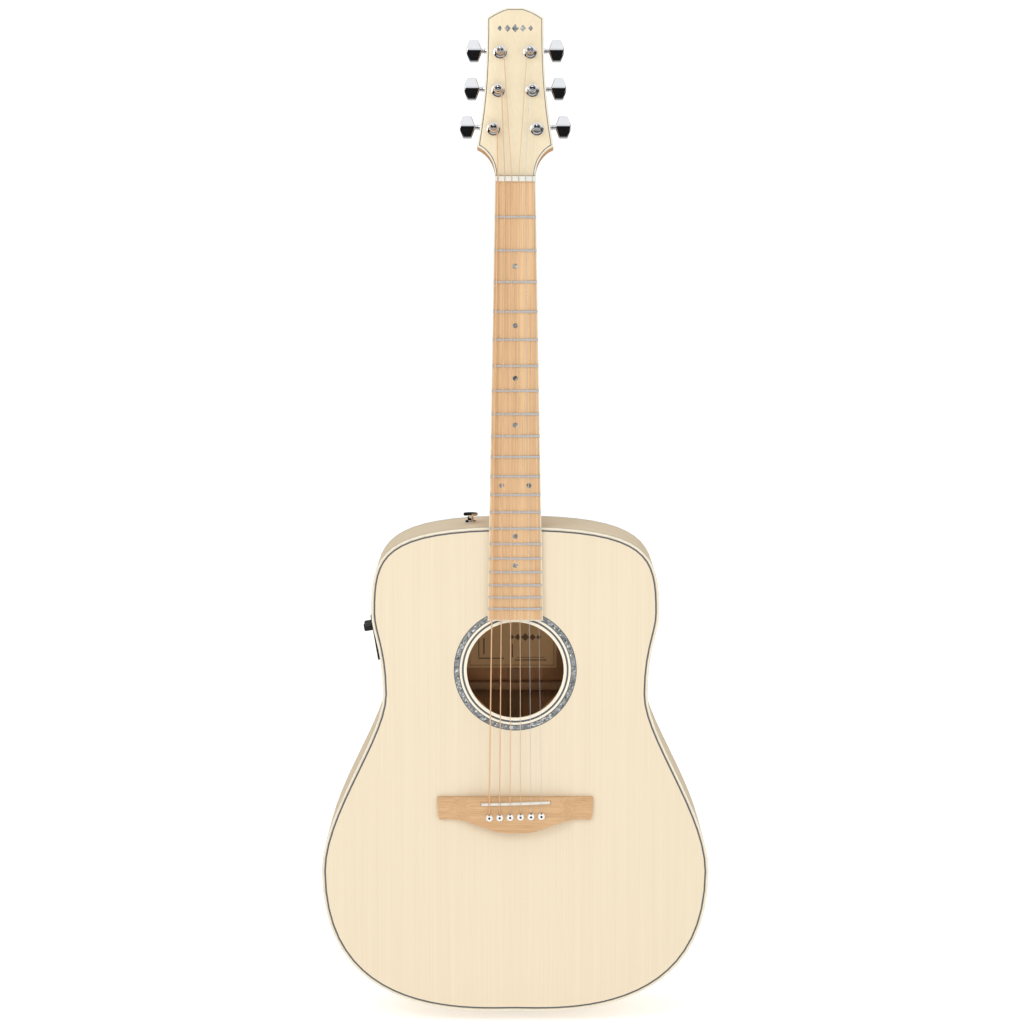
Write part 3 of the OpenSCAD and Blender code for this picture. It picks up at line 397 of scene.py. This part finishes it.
def shade(obj, bevel=0.0):
    """Welded, rounded along sharp edges by `bevel` mm, and shaded smooth elsewhere."""
    weld = obj.modifiers.new("weld", "WELD")
    weld.merge_threshold = WELD_DISTANCE
    if bevel:
        round_off = obj.modifiers.new("edges", "BEVEL")
        round_off.width = bevel * MM
        round_off.segments = 2
        round_off.limit_method = "ANGLE"
        round_off.angle_limit = SHARP_EDGE
        round_off.use_clamp_overlap = True
    smooth = obj.modifiers.new("smooth", "NODES")
    smooth.node_group = SMOOTH_TUBE if obj.name in TUBES else SMOOTH


BEVELS = {"soundboard": 0.25, "top_binding": 0.8, "back_binding": 0.8, "linings": 0.6, "top_braces": 0.8,
          "back_braces": 1.2, "neck_block": 0.8, "tail_block": 0.8, "bridge": 0.9, "saddle": 0.5,
          "bridge_pins": 0.3, "neck": 0.5, "heel_cap": 0.4, "nut": 0.35, "frets": 0.5, "fretboard": 0.15,
          "fretboard_binding": 0.3, "headstock_overlay": 0.1, "headstock_binding": 0.4, "truss_nut": 0.3,
          "tuner_housings": 0.7, "tuner_bushings": 0.2, "tuner_screws": 0.12, "preamp_panel": 0.8,
          "preamp_box": 0.6, "volume_knob": 0.25, "tone_knob": 0.25, "tuner_button": 0.5,
          "battery_door": 0.35, "battery": 1.2, "output_jack": 0.35, "strap_button": 0.5}
SLOT_OF = {part["node"]: part["material_slot"] for part in frame["record"]["subparts"]}
for name, obj in nodes.items():
    normals = obj.data.attributes.get("custom_normal")
    if normals:
        obj.data.attributes.remove(normals)
    obj.material_slots[0].material = MATERIALS[SLOT_OF[name]]
    shade(obj, BEVELS.get(name, 0.0))


# ---- Pieces of the visual model beside the CAD nodes ----
def rings_between(mesh, rings, closed=False):
    """A skin over rings of equal length, capped at both ends or joined into a loop."""
    made = [[mesh.verts.new(point) for point in ring] for ring in rings]
    count = len(rings[0])
    following = made[1:] + (made[:1] if closed else [])
    for one, two in zip(made, following):
        for j in range(count):
            mesh.faces.new((one[j], one[(j + 1) % count], two[(j + 1) % count], two[j]))
    if not closed:
        mesh.faces.new(list(reversed(made[0])))
        mesh.faces.new(made[-1])


def circle(centre, first, second, radius, sides):
    """Points round a centre, in the plane of two unit vectors, in millimetres."""
    angles = [2 * math.pi * j / sides for j in range(sides)]
    return [(centre + radius * (math.cos(a) * first + math.sin(a) * second)) * MM for a in angles]


X, Y, Z = Vector((1, 0, 0)), Vector((0, 1, 0)), Vector((0, 0, 1))


def turned(mesh, profile, sides=32):
    """A solid turned about X from (x, radius) pairs in millimetres."""
    rings_between(mesh, [circle(x * X, Y, Z, r, sides) for x, r in profile])


def piece(name, mesh, place, body, material):
    """A bmesh made into an object that rides on a body."""
    bmesh.ops.recalc_face_normals(mesh, faces=mesh.faces)
    data = bpy.data.meshes.new(name)
    mesh.to_mesh(data)
    mesh.free()
    obj = bpy.data.objects.new(name, data)
    bpy.context.scene.collection.objects.link(obj)
    obj.matrix_world = place
    data.materials.append(MATERIALS[material])
    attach(obj, body)
    shade(obj)
    return obj


def on_head(point):
    """A place on the tilted headstock: X across, Y back into it, Z up along it."""
    return Matrix.Translation(point) @ Matrix.Rotation(-HEAD_ANGLE, 4, "X")


# Tuning keys, in millimetres from the middle of the worm, which lies KEY_INSET inward of the key's pivot
KEY_INSET = 10
WORM_TURNS = 3
WORM_LEAD = 2.219  # the pitch of the post's gear
WORM_RADIUS, WORM_OFFSET = 1.65, 0.3
WORM_SLICES, WORM_SIDES = 54, 20
INNER_JOURNAL = [(-7.4, 0.8), (-7.2, 1.0), (-3.0, 1.0)]
OUTER_JOURNAL = [(3.0, 1.5), (15.9, 1.5)]
WASHER = [(16.0, 2.2), (16.3, 2.6), (17.1, 2.6), (17.4, 2.2), (17.5, 1.7)]
COLLAR = [(18.0, 1.7), (18.1, 2.1), (18.4, 2.4), (19.0, 2.4), (19.3, 2.1), (19.4, 1.8), (21.5, 1.8)]
BUTTON_INNER, BUTTON_OUTER = 19.7, 35.1
INNER_FLAT, INNER_SLOPE = 1.0, 0.34
OUTER_FLAT, OUTER_SLOPE = 2.4, 0.37
BUTTON_END = 11.7
END_ROUND = 0.7
END_THICK, ARCH = 1.2, 2.9
CORNER = 0.75


def key_shaft():
    """Worm, journals, washer and the collar under the button."""
    mesh = bmesh.new()
    rings = []
    for i in range(WORM_SLICES + 1):
        done = i / WORM_SLICES - 0.5
        turn = 2 * math.pi * WORM_TURNS * done + math.pi
        aside = WORM_OFFSET * (math.sin(turn) * Y - math.cos(turn) * Z)
        centre = WORM_TURNS * WORM_LEAD * done * X + aside
        rings.append(circle(centre, Y, Z, WORM_RADIUS, WORM_SIDES))
    rings_between(mesh, rings)
    turned(mesh, INNER_JOURNAL)
    turned(mesh, OUTER_JOURNAL + WASHER + COLLAR)
    return mesh


def button_ring(z):
    """The button's outline at one height: a hexagon's width, and a thickness arched up its height."""
    far = abs(z)
    past = max(0.0, far - (BUTTON_END - END_ROUND))
    inset = END_ROUND - math.sqrt(max(0.0, END_ROUND ** 2 - past ** 2))
    inner = BUTTON_INNER + INNER_SLOPE * max(0.0, far - INNER_FLAT) + inset
    outer = BUTTON_OUTER - OUTER_SLOPE * max(0.0, far - OUTER_FLAT) - inset
    half = END_THICK + ARCH * (1 - (z / BUTTON_END) ** 2) - 0.6 * inset
    ring = []
    for side_x, side_y, start in ((1, 1, 0), (-1, 1, 90), (-1, -1, 180), (1, -1, 270)):
        x = (outer if side_x > 0 else inner) - side_x * CORNER
        y = side_y * (half - CORNER)
        arc = [math.radians(start + 18 * j) for j in range(6)]
        points = [(x + CORNER * math.cos(a), y + CORNER * math.sin(a)) for a in arc]
        support = (x - side_x * 0.5, side_y * half)
        ring += points + [support] if side_x * side_y > 0 else [support] + points
    return [Vector((px, py, z)) * MM for px, py in ring]


def key_button():
    """A cast hexagonal button, arched from end to end."""
    mesh = bmesh.new()
    upper = [0.5 + n for n in range(11)] + [11.0, 11.25, 11.45, 11.6, BUTTON_END]
    lower = [-z for z in reversed(upper)]
    rings_between(mesh, [button_ring(z) for z in lower + upper])
    return mesh


def tuning_keys():
    """Keys 1 to 3 point to the bass side, and 4 to 6 are their mirror image."""
    for k in range(1, 7):
        out = -1 if k <= 3 else 1
        place = on_head(Vector(JOINTS[f"key_{k}_turn"]["pos_m"]) - out * KEY_INSET * MM * X)
        for part, mesh in (("shaft", key_shaft()), ("button", key_button())):
            bmesh.ops.scale(mesh, vec=(out, 1, 1), verts=mesh.verts)
            key = piece(f"key_{k}_{part}", mesh, place, f"key_{k}", "chrome")
            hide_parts(f"tuner_key_{k}")


# String turns, in millimetres from the post's pivot
STRING_RADII = (0.67, 0.53, 0.41, 0.3, 0.2, 0.15)
WOUND_STRINGS = 4
POST_RADIUS = 3
TURNS_FORWARD = 7
TURN_SPACING = 1.9
SKIN = 0.05
STEPS_ROUND = 40


def string_turns():
    """The last three turns of each string, just over the plain rings of its post."""
    for k, radius in enumerate(STRING_RADII, 1):
        mesh = bmesh.new()
        for n in (-1, 0, 1):
            along = (n * TURN_SPACING * radius - TURNS_FORWARD) * Y
            rings = []
            for j in range(STEPS_ROUND):
                a = 2 * math.pi * j / STEPS_ROUND
                outward = math.cos(a) * X + math.sin(a) * Z
                rings.append(circle(along + (POST_RADIUS + radius) * outward, outward, Y, radius + SKIN, 10))
            rings_between(mesh, rings, closed=True)
        place = on_head(Vector(JOINTS[f"post_{k}_turn"]["pos_m"]))
        material = "bronze_wound" if k <= WOUND_STRINGS else "plain_steel"
        piece(f"post_{k}_turns", mesh, place, f"post_{k}", material)


# Bridge pins, in millimetres: the row starts at PIN_START, runs PIN_SPREAD across and climbs PIN_CLIMB
PIN_START, PIN_SPREAD, PIN_CLIMB = -27.4, 55.1, 1.7
PIN_HEAD_RADIUS = 3.7
DOT_PROFILE = ((0.8, 1.0), (0.02, 1.25), (-0.03, 1.2), (-0.06, 0.9))


def pin_dots():
    """A black dot let into the head of each bridge pin."""
    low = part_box("bridge_pins")[0] / MM
    mesh = bmesh.new()
    for n in range(6):
        part = n / 5
        centre = Vector((PIN_START + PIN_SPREAD * part, low.y, low.z + PIN_HEAD_RADIUS + PIN_CLIMB * part))
        rings_between(mesh, [circle(centre + depth * Y, X, Z, r, 24) for depth, r in DOT_PROFILE])
    piece("pin_dots", mesh, Matrix.Identity(4), "guitar", "black_plastic")


# Knob pointers, in millimetres from the knob's pivot: half width, inner and outer end, front and back
MARK_HALF = 0.37
MARK_INNER, MARK_OUTER = 1.25, 3.5
MARK_FRONT, MARK_BACK = -6.86, -6.0


def knob_marks():
    """A white pointer laid in the groove of each control knob."""
    for name in ("volume", "tone"):
        joint = JOINTS[f"{name}_turn"]
        inward = -Vector(joint["axis"])
        up = inward.cross(Y)
        place = Matrix.Translation(joint["pos_m"]) @ Matrix((inward, Y, up)).transposed().to_4x4()
        mesh = bmesh.new()
        corners = ((-MARK_HALF, MARK_INNER), (MARK_HALF, MARK_INNER),
                   (MARK_HALF, MARK_OUTER), (-MARK_HALF, MARK_OUTER))
        ends = [[Vector((x, y, z)) * MM for y, z in corners] for x in (MARK_FRONT, MARK_BACK)]
        rings_between(mesh, ends)
        piece(f"{name}_mark", mesh, place, f"{name}_knob", "pin_plastic")


tuning_keys()
string_turns()
pin_dots()
knob_marks()


# ---- Stage: white floor, white surroundings, camera ----
def floor():
    """A wide white floor just under the guitar, which metal doesn't mirror."""
    size, level = 14.0, -0.0005
    corners = [(x * size, y * size, level) for x, y in ((-1, -1), (1, -1), (1, 1), (-1, 1))]
    mesh = bpy.data.meshes.new("floor")
    mesh.from_pydata(corners, [], [(0, 1, 2, 3)])
    obj = bpy.data.objects.new("floor", mesh)
    bpy.context.scene.collection.objects.link(obj)
    material = bpy.data.materials.new("floor")
    material.use_nodes = True
    surface = material.node_tree.nodes["Principled BSDF"]
    surface.inputs["Base Color"].default_value = (0.8, 0.8, 0.8, 1)
    surface.inputs["Roughness"].default_value = 0.9
    surface.inputs["Specular IOR Level"].default_value = 0.0
    surface.inputs["Emission Color"].default_value = (1, 1, 1, 1)
    surface.inputs["Emission Strength"].default_value = 0.42
    mesh.materials.append(material)
    obj.visible_glossy = False


def surroundings():
    """White all round, but polished metal sees a bright sky, a dark band and a grey floor."""
    world = bpy.data.worlds.new("studio")
    world.use_nodes = True
    tree = world.node_tree
    white = tree.nodes["Background"]
    white.inputs["Color"].default_value = (1, 1, 1, 1)
    white.inputs["Strength"].default_value = 1.05
    soft = tree.nodes.new("ShaderNodeBackground")
    soft.inputs["Color"].default_value = (1, 1, 1, 1)
    soft.inputs["Strength"].default_value = 0.85
    ray = tree.nodes.new("ShaderNodeLightPath")
    place = tree.nodes.new("ShaderNodeTexCoord")
    apart = tree.nodes.new("ShaderNodeSeparateXYZ")
    tree.links.new(place.outputs["Generated"], apart.inputs[0])
    ramp = tree.nodes.new("ShaderNodeValToRGB")
    # From straight down, at 0, to straight up, at 1
    near_floor, low_wall, dark = (0.6, 0.6, 0.6, 1), (0.4, 0.4, 0.4, 1), (0.012, 0.012, 0.012, 1)
    horizon, sky = (0.66, 0.67, 0.7, 1), (1.0, 1.0, 1.0, 1)
    stops = [(0.0, near_floor), (0.26, low_wall), (0.36, dark), (0.745, dark), (0.754, horizon), (0.82, sky)]
    while len(ramp.color_ramp.elements) < len(stops):
        ramp.color_ramp.elements.new(0.5)
    for element, (at, colour) in zip(ramp.color_ramp.elements, stops):
        element.position = at
        element.color = colour
    height = tree.nodes.new("ShaderNodeMapRange")
    height.inputs["From Min"].default_value = -1.0
    tree.links.new(apart.outputs[2], height.inputs["Value"])
    tree.links.new(height.outputs[0], ramp.inputs[0])
    mirrored = tree.nodes.new("ShaderNodeBackground")
    tree.links.new(ramp.outputs[0], mirrored.inputs["Color"])
    lit = tree.nodes.new("ShaderNodeMixShader")
    tree.links.new(ray.outputs["Is Camera Ray"], lit.inputs[0])
    tree.links.new(soft.outputs[0], lit.inputs[1])
    tree.links.new(white.outputs[0], lit.inputs[2])
    both = tree.nodes.new("ShaderNodeMixShader")
    tree.links.new(ray.outputs["Is Glossy Ray"], both.inputs[0])
    tree.links.new(lit.outputs[0], both.inputs[1])
    tree.links.new(mirrored.outputs[0], both.inputs[2])
    tree.links.new(both.outputs[0], tree.nodes["World Output"].inputs["Surface"])
    bpy.context.scene.world = world


def soft_light(name, at, aim, size, power):
    """A round area light of a size in metres and a power in watts."""
    data = bpy.data.lights.new(name, "AREA")
    data.shape = "DISK"
    data.size = size
    data.energy = power
    lamp = bpy.data.objects.new(name, data)
    lamp.location = at
    lamp.rotation_euler = (Vector(aim) - Vector(at)).to_track_quat("-Z", "Y").to_euler()
    bpy.context.scene.collection.objects.link(lamp)
    return lamp


def camera():
    """A long lens some three metres off, looking down at the front by seven degrees."""
    distance, down = 3.150, math.radians(6.99)
    aside, before_board, below_nut = 0.0034, 0.0011, 0.3429
    target = Vector((-aside, BOARD_Y - before_board, NUT_Z - below_nut))
    data = bpy.data.cameras.new("camera")
    data.lens = 106.16
    data.sensor_width = 36.0
    data.clip_start, data.clip_end = 0.1, 100.0
    obj = bpy.data.objects.new("camera", data)
    back = Vector((0, -math.cos(down), math.sin(down)))
    obj.location = target + distance * back
    obj.rotation_euler = back.to_track_quat("Z", "Y").to_euler()
    bpy.context.scene.collection.objects.link(obj)
    bpy.context.scene.camera = obj


floor()
surroundings()
BODY_MIDDLE = (0, 0, 0.5)
soft_light("key", (-1.6, -2.4, 2.6), BODY_MIDDLE, 1.6, 26)
soft_light("fill", (1.9, -2.2, 1.4), BODY_MIDDLE, 2.0, 8)
low = soft_light("low", (0.1, -1.9, 0.13), (0, 0, 0.38), 0.24, 3)
low.visible_glossy = False
camera()
bpy.context.scene.view_settings.view_transform = "Standard"
